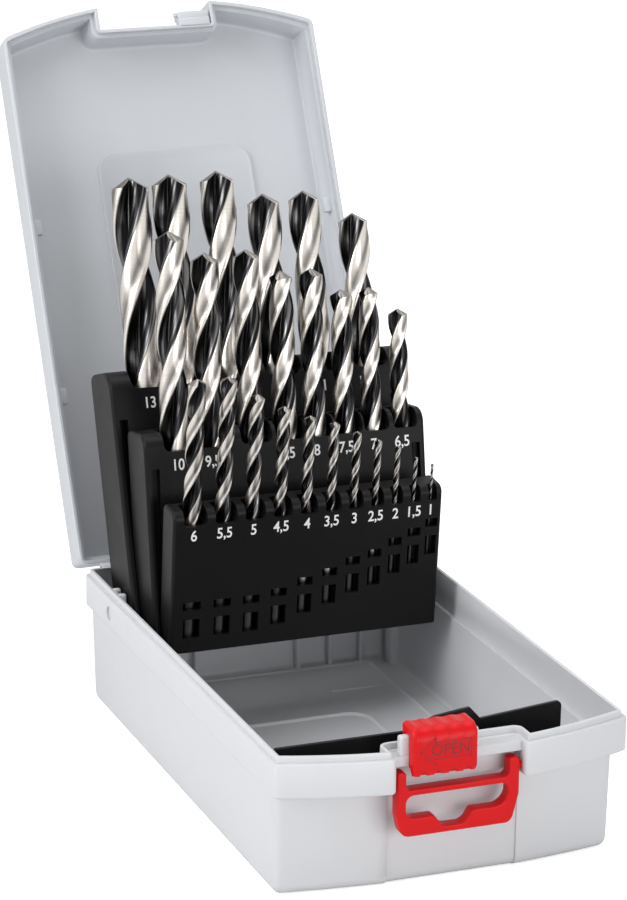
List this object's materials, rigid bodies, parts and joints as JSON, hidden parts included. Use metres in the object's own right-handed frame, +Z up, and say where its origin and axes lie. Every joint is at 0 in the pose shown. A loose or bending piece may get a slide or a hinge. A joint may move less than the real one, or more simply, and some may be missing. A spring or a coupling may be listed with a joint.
{
  "type": "drill bit case",
  "caption": "Hinged plastic case for a set of twist drills: three racks fan out as the lid opens, with a sliding latch and a fold-out hanger",
  "frame": {"origin": "middle of the tray's flat underside", "axes": "+X right, -Y front (latch), +Y back (hinge), +Z up"},
  "size_m": [0.1172, 0.3016, 0.2233],
  "materials": {
    "tray": "satin",
    "lid": "satin",
    "rack": "satin",
    "insert": "satin",
    "red": "semi-gloss",
    "pin": "plain",
    "drill": "ground"
  },
  "bodies": {
    "tray": {"base_tray": "tray", "front_insert": "insert", "trunnion_pin_left": "rack", "trunnion_pin_right": "rack", "hinge_pin_left": "pin", "hinge_pin_right": "pin"},
    "lid": {"lid": "lid"},
    "rear_rack": {"rear_rack": "rack", "drill_13_0": "drill", "drill_12_5": "drill", "drill_12_0": "drill", "drill_11_5": "drill", "drill_11_0": "drill", "drill_10_5": "drill"},
    "middle_rack": {"middle_rack": "rack", "drill_10_0": "drill", "drill_9_5": "drill", "drill_9_0": "drill", "drill_8_5": "drill", "drill_8_0": "drill", "drill_7_5": "drill", "drill_7_0": "drill", "drill_6_5": "drill"},
    "front_rack": {"front_rack": "rack", "drill_6_0": "drill", "drill_5_5": "drill", "drill_5_0": "drill", "drill_4_5": "drill", "drill_4_0": "drill", "drill_3_5": "drill", "drill_3_0": "drill", "drill_2_5": "drill", "drill_2_0": "drill", "drill_1_5": "drill", "drill_1_0": "drill"},
    "slider": {"latch_slider": "red"},
    "hanger": {"hanger_handle": "red"}
  },
  "joints": [
    {"name": "lid_hinge", "type": "hinge", "parent": "tray", "child": "lid", "pos_m": [0, 0.0942, 0.0455], "axis": [1, 0, 0], "range_deg": [0, 116.5]},
    {"name": "rear_rack_hinge", "type": "hinge", "parent": "tray", "child": "rear_rack", "pos_m": [0, 0.0645, 0.04], "axis": [1, 0, 0], "range_deg": [0, 107.88]},
    {"name": "middle_rack_hinge", "type": "hinge", "parent": "tray", "child": "middle_rack", "pos_m": [0, 0.0645, 0.04], "axis": [1, 0, 0], "range_deg": [0, 98.44]},
    {"name": "front_rack_hinge", "type": "hinge", "parent": "tray", "child": "front_rack", "pos_m": [0, 0.0645, 0.04], "axis": [1, 0, 0], "range_deg": [0, 84.19]},
    {"name": "latch_slide", "type": "slide", "parent": "tray", "child": "slider", "axis": [1, 0, 0], "range_m": [0, 0.016]},
    {"name": "hanger_hinge", "type": "hinge", "parent": "tray", "child": "hanger", "pos_m": [0, -0.1004, 0.0374], "axis": [1, 0, 0], "range_deg": [-90, 0]}
  ],
  "couplings": [
    {"joint": "rear_rack_hinge", "follows": "lid_hinge", "ratio": 0.92592},
    {"joint": "middle_rack_hinge", "follows": "lid_hinge", "ratio": 0.84489},
    {"joint": "front_rack_hinge", "follows": "lid_hinge", "ratio": 0.72257}
  ]
}
